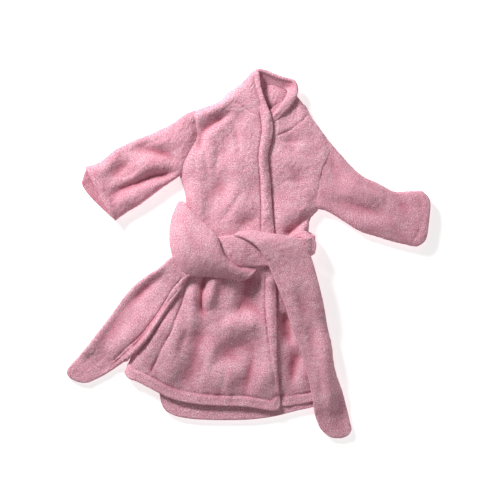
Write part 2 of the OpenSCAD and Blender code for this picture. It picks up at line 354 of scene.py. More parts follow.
def terry(name, crease_shade_colour, deep, mid, pale, ribs=0.0):
    material = bpy.data.materials.new(name)
    material.use_nodes = True
    tree = material.node_tree
    shader = tree.nodes["Principled BSDF"]
    place = add(tree, "ShaderNodeTexCoord").outputs["UV"]
    loops = add(tree, "ShaderNodeTexNoise", {"Scale": 1000 / LOOP, "Detail": 2.0,
                "Roughness": 0.6}, Vector=place).outputs["Fac"]
    patch = add(tree, "ShaderNodeTexNoise", {"Scale": 1000 / PATCH, "Detail": 1.0},
                Vector=place).outputs["Fac"]
    rows = add(tree, "ShaderNodeTexWave", {"Scale": 1000 / RIB * math.pi / 10, "Distortion": 1.4,
               "Detail": 2.0, "Detail Scale": 1.5}, Vector=place).outputs["Fac"]
    both = add(tree, "ShaderNodeMix", {"data_type": "FLOAT", "Factor": 0.14},
               A=loops, B=patch).outputs["Result"]
    lined = add(tree, "ShaderNodeMix", {"data_type": "FLOAT", "Factor": ribs},
                A=both, B=rows).outputs["Result"]
    ramp = add(tree, "ShaderNodeValToRGB", Fac=lined)
    ramp.color_ramp.elements[0].position = 0.32
    ramp.color_ramp.elements[0].color = srgb(deep)
    ramp.color_ramp.elements[1].position = 0.68
    ramp.color_ramp.elements[1].color = srgb(pale)
    middle = ramp.color_ramp.elements.new(0.5)
    middle.color = srgb(mid)
    # Painted shade: the fold attribute mixes the colour towards the darker, richer crease colour.
    painted_crease_shade = add(tree, "ShaderNodeAttribute", {"attribute_name": "fold"}).outputs["Fac"]
    tint = add(tree, "ShaderNodeMix", {"data_type": "RGBA"})
    for socket in tint.inputs:
        if socket.identifier == "A_Color":
            tree.links.new(ramp.outputs["Color"], socket)
        if socket.identifier == "B_Color":
            socket.default_value = srgb(crease_shade_colour)
        if socket.identifier == "Factor_Float":
            tree.links.new(painted_crease_shade, socket)
    tree.links.new(tint.outputs[2], shader.inputs["Base Color"])
    strands = add(tree, "ShaderNodeTexNoise", {"Scale": 1000 / (LOOP * 0.75), "Detail": 3.0,
                  "Roughness": 0.6}, Vector=place).outputs["Fac"]
    height = add(tree, "ShaderNodeMix", {"data_type": "FLOAT", "Factor": ribs},
                 A=strands, B=rows).outputs["Result"]
    bump = add(tree, "ShaderNodeBump", {"Strength": 0.8, "Distance": BUMP_DEPTH}, Height=height)
    tree.links.new(bump.outputs["Normal"], shader.inputs["Normal"])
    shader.inputs["Roughness"].default_value = 0.95
    shader.inputs["Specular IOR Level"].default_value = 0.1
    shader.inputs["Sheen Weight"].default_value = 0.2
    shader.inputs["Sheen Roughness"].default_value = 0.5
    shader.inputs["Sheen Tint"].default_value = srgb("#F2CFD8")
    return material


# The first colour of each is the painted shade for creases and sleeve insides; the other three are
# the pile's own grain.
terry_body = terry("terry loop-pile cotton, body", "#B04C62", "#C27286", "#E2A2B3", "#FEE2EB")
terry_sleeve = terry("terry loop-pile cotton, sleeves", "#B04C62", "#C07184", "#DE9BAC", "#FAD9E3")
terry_sash = terry("terry loop-pile cotton, doubled sash", "#B5546A", "#C37588", "#E3A2B3",
                   "#FDE1EA", 0.05)
print("materials:", [m.name for m in bpy.data.materials if "terry" in m.name])

# %% [markdown]
# ## The right front
#
# The right front lies on top. Its edge runs from the neck down past the middle, and its side
# rolls down to the side seam. Its folds come from the sash, which gathers the cloth.

# %% Outline, folds and level of the right front
right_front_rows = [
    (2.5, 190, 0, 9.5, 194.5, 0),
    (-1.5, 184.5, 0, 11.4, 189.5, 0),
    (-9, 177.5, 0, 12.2, 183, 0),
    (-21, 169, 0, 13.6, 174, 0),
    (-30, 160, 0, 16.5, 164, 0),
    (-44, 154, 0, 20, 154.5, 0),
    (-57, 149, 0, 23.5, 145, 0),
    (-55.5, 136, 0, 26, 133, 0),
    (-58, 117, 0, 23.4, 116, 0),
    (-66, 99, 0, 20.3, 102, 0),
    (-72, 84, 0, 21.6, 88, 0),
    (-67, 68, 0, 23.4, 70, 0),
    (-64.5, 50, 0, 24.6, 50, 0),
    (-66, 20, 0, 27.5, 20, 0),
    (-70, -10, 0, 28.5, -12, 0),
    (-80, -36, 0, 29.6, -44, 0, 0, -1, 0),
    (-95, -64, 0, 29.7, -86, 0, 0, -3, 0),
    (-112, -92, 0, 30.5, -118, 0, 0, -6, 0),
    (-124, -110, 0, 32, -140, 0, 0, -9, 0),
    (-131, -126, 0, 33.5, -161, 0, 0, -13, 0)]
right_side = [(-72, 86), (-66.5, 68), (-64.5, 50), (-66, 20), (-70, -10), (-80, -36),
              (-95, -64), (-112, -92), (-131, -125)]
right_hem = [(-131, -126), (-127, -130.5), (-118, -134), (-104, -141), (-92, -147.5), (-76, -154),
             (-55, -158), (-25, -160), (0, -161), (16, -163.8), (26, -164.8), (32, -163.5),
             (33.8, -159)]
right_edge = [(10.5, 194), (13, 175), (16.5, 165), (22, 150), (25.5, 140), (26.2, 130),
              (23.4, 116), (20.2, 104), (22, 87), (24.3, 60), (27, 30), (28.5, -10),
              (29.7, -60), (29.6, -100), (31.2, -125), (33.5, -150), (33.8, -163)]
# height, width to the left, width to the right, path
crease = (-1.5, 3.2, 4.2)
chest_folds = [
    (*crease, [(-50, 124), (-45, 104), (-43, 84), (-45, 64)]),
    (*crease, [(-38, 134), (-33, 114), (-34, 92), (-38, 72)]),
    (*crease, [(-22, 150), (-14, 132), (-10, 110), (-12, 90)]),
    (*crease, [(-60, 90), (-55, 74), (-53, 54), (-54, 34)]),
    (*crease, [(-4, 74), (-12, 56), (-24, 40), (-38, 30)]),
    (-6.5, 5, 9, [(-14, 154), (-30, 141.5), (-40, 135), (-48, 128), (-52, 112), (-58, 98)], 0.3),
    (4.0, 10, 10, [(-16, 164), (-31, 153), (-42, 146), (-54, 140)]),
    (-3.4, 11, 10, [(-16, 140), (-22, 124), (-28, 105), (-30, 90)]),
    (2.6, 11, 12, [(-34, 130), (-41, 108), (-46, 86), (-48, 60)]),
    (-3.8, 12, 11, [(-22, 96), (-29, 72), (-37, 50), (-36, 22)]),
    (3.4, 15, 15, [(-2, 138), (-4, 112), (-8, 80), (-12, 45), (-10, 15)]),
    (2.4, 10, 10, [(-52, 88), (-55, 60), (-50, 30)]),
    (-2.4, 6, 7, [(16, 40), (-2, 33), (-18, 25)]),
    (-2.0, 7, 7, [(6, 156), (-6, 145), (-14, 128)]),
    (-1.7, 1.4, 1.4, [(11.5, 152), (14, 128), (12, 115), (10.5, 100), (12, 85), (13, 60),
                      (13.5, 40), (13, 22)], 0.06),
    (1.8, 5, 5, [(15, 155), (19.5, 138), (18, 115), (15, 100), (17, 80), (18.5, 55),
                 (20, 30)], 0.08),
    (1.6, 2.6, 2.6, [(9, 192), (11.5, 178), (15, 164), (20, 150), (23, 138)], 0.08),
    (-1.2, 2, 2, [(5, 190), (7, 178), (11, 164), (15, 152)], 0.2),
    (-1.0, 1.3, 1.3, [(-14, 160), (-5, 154), (8, 145)], 0.2)]
skirt_folds = [
    (*crease, [(-60, -40), (-63, -70), (-71, -98), (-84, -126)]),
    (*crease, [(-22, -108), (-25, -130), (-31, -152)]),
    (*crease, [(10, -98), (2, -122), (-3, -150)]),
    (*crease, [(-34, -76), (-42, -98), (-50, -126), (-54, -146)]),
    (-6.5, 3.5, 6, [(-43, -16), (-47, -36), (-49, -56), (-43, -71)], 0.35),
    (4.6, 9, 6, [(-60, -14), (-58, -40), (-60, -66), (-66, -88)]),
    (5.6, 5, 8, [(-35, -16), (-38, -38), (-42, -60)], 0.35),
    (-8.2, 22, 9, [(0, -10), (-2, -34), (-5, -54), (-10, -72)], 0.3),
    (4.2, 15, 12, [(-24, -64), (-14, -74), (-2, -72), (12, -62)], 0.3),
    (-6.4, 19, 12, [(20, -84), (0, -96), (-26, -103), (-48, -100)]),
    (-4.8, 10, 11, [(-56, -66), (-51, -94), (-59, -120), (-66, -146)], 0.35),
    (4.4, 12, 12, [(-74, -56), (-77, -88), (-80, -116), (-86, -144)], 0.3),
    (3.8, 13, 13, [(-18, -106), (-24, -126), (-34, -150)]),
    (-2.8, 10, 10, [(12, -98), (4, -118), (-6, -138), (-14, -154)]),
    (3.0, 9, 9, [(18, -108), (15, -132), (10, -156)]),
    (2.6, 9, 11, [(-36, -84), (-38, -100), (-44, -118)]),
    (-2.0, 1.5, 1.5, [(-66, -30), (-69, -48), (-77, -70), (-80, -80), (-86, -90), (-96, -110),
                      (-106, -130)], 0.1),
    (3.0, 8, 8, [(-78, -44), (-92, -74), (-106, -104), (-116, -124)]),
    (-1.9, 1.3, 1.3, [(18.5, -20), (18, -60), (20, -80), (23.5, -108), (27, -135), (28, -150)],
     0.05),
    (1.8, 5, 5, [(24, -22), (24, -60), (25, -90), (27.5, -118), (30, -150)], 0.05)]


def side_drop(x, y, side, level, foot, radius):
    """Brings a level down to the table along a side, as a quarter circle of that radius."""
    away = near(x, y, side)[0]
    return foot + (level - foot) * rounded(away + 0.3, radius)


def hem_shape(x, y, hem):
    """A turned-up hem: a little thicker, with the pull of its stitching."""
    away = near(x, y, hem)[0]
    groove = -0.9 * np.exp(-(((away - HEM_BAND) / 1.3) ** 2))
    pucker = 0.35 * np.sin(x / 2.1) * np.exp(-(((away - HEM_BAND) / 4) ** 2))
    return groove + pucker + 0.7 * ease((HEM_BAND - away) / 3)


def hem_sag(x, y, hem):
    """The front's weight brings its hem down onto the back."""
    return -6.5 * ease((46 - near(x, y, hem)[0]) / 42)


right_shoulder = [(7, 195), (2, 190), (-2, 184), (-8, 178), (-20, 169), (-30, 160), (-44, 154),
                  (-57, 149.5)]
right_armhole = [(-58, 150), (-55.5, 136), (-58, 117), (-66, 99), (-72, 84)]
left_armhole = [(86, 115), (85.5, 106), (78, 90), (75, 72), (75.5, 51)]
left_shoulder = [(58, 157), (63, 148), (67, 142), (76, 131), (85, 116)]


def right_level(x, y):
    level = RIGHT_LEVEL + over_sash(x, y) + wrinkles(x, y)
    level += folds(x, y, chest_folds) + folds(x, y, skirt_folds)
    level += hem_shape(x, y, right_hem) + hem_sag(x, y, right_hem)
    level = side_drop(x, y, right_shoulder, level, EDGE_FOOT, 8)
    level = side_drop(x, y, right_side, level, EDGE_FOOT, 15)
    level -= 2.4 * np.exp(-((near(x, y, right_armhole)[0] / ARMHOLE) ** 2))
    return level - 1.6 * np.exp(-((near(x, y, right_edge)[0] / 4) ** 2))


right_grid = strip(right_front_rows, 112, 372, tip=right_hem, reach=40)
right_grid[..., 2] = right_level(right_grid[..., 0], right_grid[..., 1])
right_front = cloth("right_front_cloth", right_grid, CLOTH, terry_body)

# %% [markdown]
# ## The left front
#
# Most of the left front is hidden under the right one. Where it is covered it has to stay
# under, so its level is the lower of its own and that of the cloth above it.

# %% The left front under the right
left_front_rows = [
    (28, 156, 0, 50, 167, 0),
    (22, 150, 0, 59, 156, 0),
    (14, 140, 0, 66, 143, 0),
    (6, 128, 0, 75, 131, 0),
    (0, 117, 0, 85, 115, 0),
    (-4, 104, 0, 85.5, 106, 0),
    (-8, 88, 0, 78, 90, 0),
    (-10, 72, 0, 75, 72, 0),
    (-12, 52, 0, 75.5, 51, 0),
    (-14, 38, 0, 65, 38, 0),
    (-16, 15, 0, 62.5, 12, 0),
    (-18, -20, 0, 66, -20, 0),
    (-22, -60, 0, 74, -60, 0),
    (-28, -100, 0, 83, -100, 0, 0, -4, 0),
    (-34, -130, 0, 90, -130, 0, 0, -8, 0),
    (-38, -152, 0, 93, -147, 0, 0, -12, 0)]
left_side = [(75.5, 50), (66, 41), (63, 26), (62.5, 12), (66, -20), (74, -60), (83, -100),
             (93, -148)]
left_hem = [(-38, -153), (0, -161), (40, -161), (70, -156), (94, -148)]
left_folds = [
    (*crease, [(32, 113), (50, 106), (68, 102)]),
    (*crease, [(30, 96), (46, 88), (66, 84)]),
    (*crease, [(34, 70), (50, 66), (70, 74)]),
    (-3.4, 9, 9, [(18, 122), (40, 118), (58, 121), (78, 130)]),
    (-3.6, 9, 10, [(20, 82), (42, 77), (60, 78), (78, 88)]),
    (3.2, 12, 12, [(22, 102), (46, 98), (66, 104)]),
    (-2.0, 1.4, 1.4, [(63, 147), (50, 134.5), (42, 129.5), (29, 124)], 0.1),
    (-1.8, 1.6, 3, [(50, 168), (51, 152), (51.5, 136)]),
    (-6.5, 3.5, 9, [(70, 44), (60, 36), (50, 27), (34, 14)], 0.3),
    (4.0, 8, 9, [(70, 58), (52, 45), (38, 35), (26, 26)]),
    (-4.4, 10, 10, [(88, 66), (68, 54), (52, 42), (36, 28)]),
    (2.4, 12, 12, [(30, 64), (48, 60), (66, 68)]),
    (-4.6, 6, 8, [(38, -58), (43, -78), (43, -98)], 0.35),
    (-4.4, 9, 12, [(44, -26), (46, -70), (46, -110), (42, -150)], 0.2),
    (-4.6, 6, 8, [(60, -92), (51, -114), (42, -140)]),
    (3.6, 7, 8, [(46, -62), (52, -86), (62, -112)]),
    (-3.0, 6, 5, [(33, -40), (35, -75), (35, -112)]),
    (3.0, 6, 6, [(37, -112), (38, -130), (36, -152)])]


def left_level(x, y):
    level = LEFT_LEVEL + over_sash(x, y) + wrinkles(x, y) + hem_shape(x, y, left_hem)
    level += folds(x, y, left_folds) + hem_sag(x, y, left_hem)
    level = side_drop(x, y, left_shoulder, level, EDGE_FOOT, 8)
    level = side_drop(x, y, left_side, level, EDGE_FOOT, 13)
    level -= 2.0 * np.exp(-((near(x, y, left_armhole)[0] / ARMHOLE) ** 2))
    inside = near(x, y, right_edge)
    covered = ease(((inside[1] < 0) * inside[0] + 2) / 4)
    cover = right_level(x, y) - CLOTH - COVER_GAP
    return np.where(covered > 0, np.minimum(level, cover * covered + level * (1 - covered)), level)


left_grid = strip(left_front_rows, 96, 335)
left_grid[..., 2] = left_level(left_grid[..., 0], left_grid[..., 1])
left_front = cloth("left_front_cloth", left_grid, CLOTH, terry_body)

# %% [markdown]
# ## The back panel
#
# The back lies on the table, and over the sash at the waist. Its hem shows below the fronts.

# %% The back panel
back_rows = [
    (7, 188, 0, 46, 179, 0),
    (-3, 180, 0, 49, 172, 0),
    (-16, 170, 0, 56, 159, 0),
    (-40, 157, 0, 68, 140, 0),
    (-57, 149, 0, 84, 115, 0),
    (-56, 134, 0, 84, 104, 0),
    (-60, 112, 0, 78, 88, 0),
    (-71, 86, 0, 75, 70, 0),
    (-66, 66, 0, 74, 52, 0),
    (-64.5, 48, 0, 65, 38, 0),
    (-66, 20, 0, 62.5, 12, 0),
    (-70, -10, 0, 66, -20, 0),
    (-80, -36, 0, 72, -50, 0),
    (-93, -66, 0, 79, -84, 0, 0, -6, 0),
    (-106, -94, 0, 86, -116, 0, 0, -12, 0),
    (-100, -122, 0, 91, -138, 0, 0, -18, 0),
    (-91.5, -152, 0, 94, -150, 0, 0, -20, 0)]
back_hem = [(-91.5, -152), (-91.5, -159), (-88, -165), (-80, -169.8), (-62, -174), (-45, -175.2),
            (-25, -175.6), (0, -175), (30, -171), (50, -165.8), (72, -160.5), (94, -150)]


def back_level(x, y):
    lift = 2.2 * ease((30 - near(x, y, back_hem)[0]) / 20) + 0.5 * hem_shape(x, y, back_hem)
    lift += 6 * np.exp(-(((x - 28) / 15) ** 2) - ((y - 166) / 15) ** 2)
    return BACK_LEVEL + over_sash(x, y) + lift


back_grid = strip(back_rows, 150, 345, tip=back_hem, reach=30)
back_grid[..., 2] = back_level(back_grid[..., 0], back_grid[..., 1])
back_panel = cloth("back_cloth", back_grid, CLOTH, terry_body)

# %% [markdown]
# ## Sleeves
#
# A sleeve is a tube, pressed flat by its own weight. Each ring of the tube is a flattened
# round: its two ends are the top edge and the underside, and its height is the air inside.

# %% Sleeve builder
def sleeve_grid(rows, table, length, girth, out, bulge, back_bulge, peak, heading, rim):
    """A row is top edge x y, underside x y, lowest and highest level of the middle surface.

    Near the cuff the cloth is pushed along out: both layers by bulge, and the lower layer by
    back_bulge too, most at peak (-1 is the underside, 1 the top edge). heading turns the
    wrinkles, and rim is how far the cuff's end stands up.
    """
    places = spaced(length)
    full = smooth([[r[0], r[1], 0, r[2], r[3], 0, r[4], r[5]] for r in rows], places)
    count = int(girth / STEP)
    turn = np.linspace(0, 2 * math.pi, 721)
    across = np.sign(np.cos(turn)) * np.abs(np.cos(turn)) ** 0.9
    up = np.sign(np.sin(turn)) * np.abs(np.sin(turn)) ** 0.55
    grid = np.zeros((len(full), count, 3))
    late = ease((places * length - length + 34) / 34)
    for i, row in enumerate(full):
        half = np.linalg.norm(row[0:2] - row[3:5]) / 2
        ring = np.stack([across * half, up * (row[7] - row[6]) / 2])
        walk = np.concatenate([[0], np.cumsum(np.hypot(*np.diff(ring, axis=1)))])
        at = np.interp(np.arange(count) / count * walk[-1], walk, turn)
        a, b = np.interp(at, turn, across), np.interp(at, turn, up)
        middle, reach = (row[0:2] + row[3:5]) / 2, (row[0:2] - row[3:5]) / 2
        grid[i, :, :2] = middle + a[:, None] * reach
        low = ease((0.5 - b) / 1.0)
        mound = np.where(a > peak, (1 - a) / (1 - peak), (1 + a) / (1 + peak))
        flat = 1 - a**6
        push = bulge * flat + back_bulge * low * mound * (1.3 - 0.3 * mound**4)
        grid[i, :, :2] += (late[i] * push)[:, None] * np.array(out)
        top = ease((b + 0.1) / 0.7)
        shape = folds(grid[i, :, 0], grid[i, :, 1], table)
        shape += wrinkles(grid[i, :, 0], grid[i, :, 1], heading)
        shape += rim * math.exp(-((((1 - places[i]) * length - 4) / 2.8) ** 2))
        least = row[6] + (CLOTH + 0.8) * flat - (row[6] + row[7]) / 2
        sunk = b * (row[7] - row[6]) / 2
        grid[i, :, 2] = ((row[6] + row[7]) / 2
                         + np.maximum(sunk + top * flat * shape, np.minimum(least, sunk)))
    return grid[:, ::-1]


right_sleeve_rows = [
    (-48, 150, -64, 88, 5.6, 8.5),
    (-57, 149.3, -72, 84, 3.2, 13.4),
    (-66, 145.5, -78, 80, 1.8, 14.2),
    (-80, 136, -90, 72, 1.8, 13.5),
    (-100, 126, -103, 62.5, 1.8, 13),
    (-120, 118, -118, 51.5, 1.8, 12.5),
    (-139, 109, -129, 45, 1.8, 12.5),
    (-156, 96, -136, 40, 1.8, 13),
    (-165, 91.8, -139, 37.5, 1.8, 14.5),
    (-171, 91, -141, 36, 1.8, 15)]
right_sleeve_folds = [
    (*crease, [(-66, 130), (-88, 122), (-112, 114), (-134, 102)]),
    (*crease, [(-108, 94), (-124, 84), (-142, 72)]),
    (-7.5, 9, 5, [(-62, 86), (-86, 84.5), (-100, 82), (-115, 75.5), (-130, 69.5), (-152, 56)],
     0.35),
    (3.4, 9, 8, [(-80, 72), (-98, 74), (-115, 71), (-128, 62), (-142, 50)], 0.3),
    (4.0, 9, 9, [(-78, 96), (-100, 95), (-122, 86), (-140, 74)]),
    (-4.0, 6, 7, [(-68, 86), (-79, 99), (-92, 107), (-110, 110), (-130, 104)]),
    (3.2, 10, 10, [(-64, 122), (-90, 119), (-116, 111)]),
    (-4.2, 9, 9, [(-120, 102), (-134, 89), (-150, 78)]),
    (3.0, 8, 8, [(-134, 104), (-152, 91), (-160, 76)]),
    (-1.4, 1.2, 1.2, [(-158, 70), (-154, 58), (-148, 48), (-142, 40)], 0.1)]
right_grid_s = sleeve_grid(right_sleeve_rows, right_sleeve_folds, 118, 142,
                           (-0.88, -0.47), 0.6, 12.5, 0.55, 205, 1.5)
right_sleeve = cloth("right_sleeve_cloth", right_grid_s, CLOTH, terry_sleeve, tube=True)

left_sleeve_rows = [
    (68, 137, 64, 52, 5.6, 8.2),
    (84, 118, 75, 48.5, 3.2, 12.6),
    (92, 108.5, 83, 46.5, 1.8, 13.4),
    (103, 96, 96, 39, 1.8, 13),
    (118, 82, 116, 26.5, 1.8, 13),
    (138, 72, 140, 18, 1.8, 12.5),
    (154, 64.2, 156, 13.5, 1.8, 12),
    (169, 64.8, 168, 10.5, 1.8, 12),
    (184, 65.2, 178, 8.6, 1.8, 11.5)]
left_sleeve_folds = [
    (*crease, [(96, 92), (118, 74), (140, 64), (160, 54)]),
    (*crease, [(92, 62), (114, 52), (140, 42)]),
    (-2.6, 7, 9, [(140, 72), (160, 56), (180, 38)]),
    (2.4, 7, 7, [(146, 74), (166, 61), (184, 44)]),
    (-3.2, 9, 14, [(80, 116), (86, 98), (94, 74), (98, 56)]),
    (-2.6, 12, 12, [(70, 60), (94, 56), (128, 46)]),
    (3.8, 13, 13, [(92, 88), (116, 68), (146, 50)]),
    (3.0, 11, 11, [(104, 48), (134, 34), (166, 24)]),
    (-2.8, 8, 8, [(98, 52), (124, 44), (154, 34)]),
    (-0.8, 1.3, 1.3, [(177, 63), (182, 50), (182, 30), (172, 12)], 0.1)]
left_grid_s = sleeve_grid(left_sleeve_rows, left_sleeve_folds, 112, 128,
                          (0.985, -0.17), 9.0, 0.8, 0.0, -30, 0.6)
left_sleeve = cloth("left_sleeve_cloth", left_grid_s[:, ::-1], CLOTH, terry_sleeve, tube=True)

# %% [markdown]
# ## The collar
#
# A folded band stands behind the neck, turns over at its left corner and runs down the left
# neck edge until the right front covers it.

# %% The collar band
collar_rows = [
    (7, 192.5, 12, 10, 181, 3),
    (11, 193.9, 13, 13, 179.5, 3.2),
    (16, 192.8, 13, 18, 178.5, 3.6),
    (23, 190.3, 13, 24, 177.3, 4.2),
    (31, 186.8, 13, 31, 175.8, 5),
    (40, 184, 13, 37, 173.8, 5.5),
    (47.5, 182, 13.5, 40.5, 171.5, 8),
    (51.3, 176, 14, 41, 168.5, 12),
    (50.5, 168, 14, 38, 161.5, 13.6),
    (44.5, 157, 14, 32, 153, 14),
    (36, 147, 13, 24.5, 144, 12.5),
    (28, 138, 10.5, 17, 136, 10.5)]
collar_grid = strip(collar_rows, 13, 100)
from_middle = np.linspace(-1, 1, collar_grid.shape[1])[None, :]
down_front = ease((np.linspace(0, 1, collar_grid.shape[0]) - 0.45) / 0.15)[:, None]
crown = 1 - from_middle**2
rim = 1.6 * np.exp(-(((from_middle + 0.8) / 0.25) ** 2))
collar_grid[..., 2] += 1.5 * crown * down_front
collar_grid[..., 2] += (rim - 1.2 * crown) * (1 - down_front)
collar = cloth("collar_band", collar_grid, COLLAR, terry_body)

# %% [markdown]
# ## The sash
#
# The sash is one doubled strip. It runs behind the body, comes forward at both sides and is
# tied in a half knot, so one half goes under and ends on the robe's right, and the other goes
# over and ends on its left. Each half is one strip here, and they meet behind the back, where
# the robe covers them. Where a strip lies on other cloth it rests on a height map of it.

# %% A height map of what lies below
CELL = 2.0
REACH = 230
CELLS = int(2 * REACH / CELL)
heights = np.zeros((CELLS, CELLS))


def put_down(grid, thick):
    """Adds a piece's top to the height map."""
    i = np.clip(((grid[..., 0] + REACH) / CELL).astype(int), 1, CELLS - 2)
    j = np.clip(((grid[..., 1] + REACH) / CELL).astype(int), 1, CELLS - 2)
    for di in (-1, 0, 1):
        for dj in (-1, 0, 1):
            np.maximum.at(heights, (i + di, j + dj), grid[..., 2] + thick / 2)


def resting(x, y, thick, spread=3):
    """The level of a middle surface that rests on the height map, softened over a spread."""
    soft = heights.copy()
    for _ in range(spread):
        soft[1:-1, 1:-1] = (soft[1:-1, 1:-1] * 2 + soft[:-2, 1:-1] + soft[2:, 1:-1]
                            + soft[1:-1, :-2] + soft[1:-1, 2:]) / 6
    soft = np.maximum(soft, heights)
    a, b = (x + REACH) / CELL - 0.5, (y + REACH) / CELL - 0.5
    i, j = np.clip(a.astype(int), 0, CELLS - 2), np.clip(b.astype(int), 0, CELLS - 2)
    s, t = a - i, b - j
    level = ((soft[i, j] * (1 - s) + soft[i + 1, j] * s) * (1 - t)
             + (soft[i, j + 1] * (1 - s) + soft[i + 1, j + 1] * s) * t)
    return level + thick / 2 + REST_GAP


def settle(grid, rounds=40):
    """Thick cloth turns over an edge below it in a soft curve, so levels are evened lengthwise."""
    for _ in range(rounds):
        grid[1:-1, :, 2] = (grid[:-2, :, 2] + 2 * grid[1:-1, :, 2] + grid[2:, :, 2]) / 4


for laid in (back_grid, left_grid, right_grid):
    put_down(laid, CLOTH)
print("highest cloth under the sash:", round(float(heights.max()), 1), "mm")

# %% The under strand and the robe's right end
under_rows = [
    (-6, 38, 2.6, -6, -10, 2.6),
    (30, 34, 2.6, 30, -13, 2.6),
    (56, 28, 2.6, 56, -6, 2.6),
    (66, 22, 7, 66, -2, 7),
    (67.5, 20, 15, 67.5, 0, 15),
    (64, 18, 23, 64, -2, 22),
    (52, 17, 26, 54, -8, 24),
    (34, 17.5, 27, 34, -12, 24.5),
    (14, 18.5, 26.5, 14, -13, 23.5, 0, 0, 1.0),
    (-8, 19.5, 27.5, -8, -13, 23.5, 0, 0, 3.2),
    (-28, 18.5, 27, -24, -14, 24, 0, 0, 2),
    (-46, 12, 26, -40, -18, 24),
    (-62, 4, 26, -52, -21, 24),
    (-77, -1, 24, -62, -24.5, 22),
    (-93, -14, 20, -70, -37, 20),
    (-110, -25, 13, -81, -52, 19),
    (-124, -37, 8, -92, -68, 18),
    (-138, -55, 4, -104, -87, 16),
    (-153, -75, 2, -119, -104, 12),
    (-169, -96, 2, -137, -118, 4),
    (-184, -113, 2, -156, -130, 2),
    (-191, -122, 2, -169, -136, 2)]
under_tip = [(-191, -121), (-192.3, -125), (-190.5, -129.5), (-184, -134), (-177, -136.2),
             (-169, -136)]
under_grid = strip(under_rows, 42, 345, tip=under_tip, reach=14)
x, y = under_grid[..., 0], under_grid[..., 1]
on_front = ease((-y - 26 * (x > -62)) / 14) * (x < -50)
under_folds = [
    (-3.4, 5, 10, [(-84, -20), (-96, -27), (-110, -40), (-128, -62)]),
    (2.2, 7, 9, [(-150, -82), (-160, -96), (-170, -112)]),
    (3.0, 5, 5, [(-84, -9), (-106, -25), (-124, -40), (-142, -63), (-160, -88), (-180, -112)],
     0.1),
    (2.4, 7, 7, [(-96, -50), (-116, -73), (-138, -96), (-158, -114)]),
    (-1.7, 1.5, 1.5, [(-66, -22), (-74, -30), (-80, -38), (-86, -48), (-97, -65), (-112, -84),
                      (-130, -100), (-150, -119), (-168, -133)], 0.04),
    (-1.5, 1.4, 1.4, [(-62, -23), (-70, -33), (-77, -42.5), (-83, -51), (-94, -67),
                      (-108.5, -86), (-127, -102.5), (-147, -121)], 0.04)]
rest = np.maximum(resting(x, y, SASH, 8), under_grid[..., 2])
under_grid[..., 2] = np.where(on_front > 0,
                              under_grid[..., 2] * (1 - on_front)
                              + np.maximum(rest, SASH / 2) * on_front, under_grid[..., 2])
under_grid[..., 2] += folds(x, y, under_folds) * on_front
under_grid[..., 2] = np.maximum(under_grid[..., 2], SASH / 2 + 0.3)
under_strand = cloth("sash_under_strand", under_grid, SASH, terry_sash)
put_down(under_grid[under_grid.shape[0] // 4:], SASH)

# %% The over strand, which wraps the knot
over_rows = [
    (-4, 38, 2.6, -4, -10, 2.6),
    (-40, 42, 2.6, -40, -6, 2.6),
    (-64, 48, 3, -64, 0, 3),
    (-71, 50, 9, -71, -5, 8, -7, 0, 0),
    (-71, 54, 17, -74, -9, 14, -8, 0, 0),
    (-67, 54.5, 24, -72.5, -14, 20.5, -8, 0, 2),
    (-61, 47, 27.5, -70, -17, 22, -3, 0, 7),
    (-51, 36.5, 29, -62, -21.5, 22, 0, 0, 9.5),
    (-42, 28, 30.5, -50, -23, 22, 0, 0, 10),
    (-35, 20.5, 31.5, -38, -23.5, 22, 0, 0, 9.5),
    (-31.5, 11, 32, -27, -24.3, 22, 0, 0, 8),
    (-27.5, 0, 31.5, -17, -25.3, 22, 0, 0, 6),
    (-20, -9, 29.5, -6, -26.8, 22, 0, 0, 4),
    (-11, -15, 25, 3, -23, 21.5, 0, 0, 1),
    (-3, -13, 21, 10, -16, 20.5),
    (4, -8, 19.5, 16, -9, 19.5)]
over_grid = strip(over_rows, 50, 170)
over_strand = cloth("sash_over_strand", over_grid, SASH, terry_sash)

# %% The fold over the knot and the robe's left end
left_end_rows = [
    (-17, 18.8, 29, -9, 21.5, 27),
    (-6, 16, 32.5, 5, 24, 28, 0, 0, 1),
    (3, 12, 34, 22, 20.5, 29, 0, 0, 2),
    (9, 7, 34, 40, 18.5, 28.5, 0, 0, 2.4),
    (13, 2, 33.5, 52, 15, 28, 0, 0, 2.6),
    (17, -5, 31.5, 60, 7.5, 27.5, 0, 0, 2.6),
    (21, -13, 28.5, 64.5, -2, 26, 0, 0, 2.4),
    (30, -34, 26, 72, -27, 24, 0, 0, 2.4),
    (36.5, -50, 24, 77, -47, 20, 0, 0, 2),
    (43, -70, 21.5, 81, -67, 15, 0, 0, 1),
    (51, -92, 19, 85.5, -92, 9),
    (58, -113, 16, 89, -118, 5),
    (63, -132, 12, 95.5, -138, 3),
    (67.5, -155, 5, 102, -156, 3),
    (72, -176, 3, 107, -176, 3),
    (78, -187, 3, 109, -186, 3),
    (82, -190.5, 3, 108, -187, 3)]
left_tip = [(82, -190.5), (87, -193.8), (94, -195), (101, -194), (106, -191), (108, -187)]
left_end_grid = strip(left_end_rows, 38, 232, tip=left_tip, reach=16)
x, y = left_end_grid[..., 0], left_end_grid[..., 1]
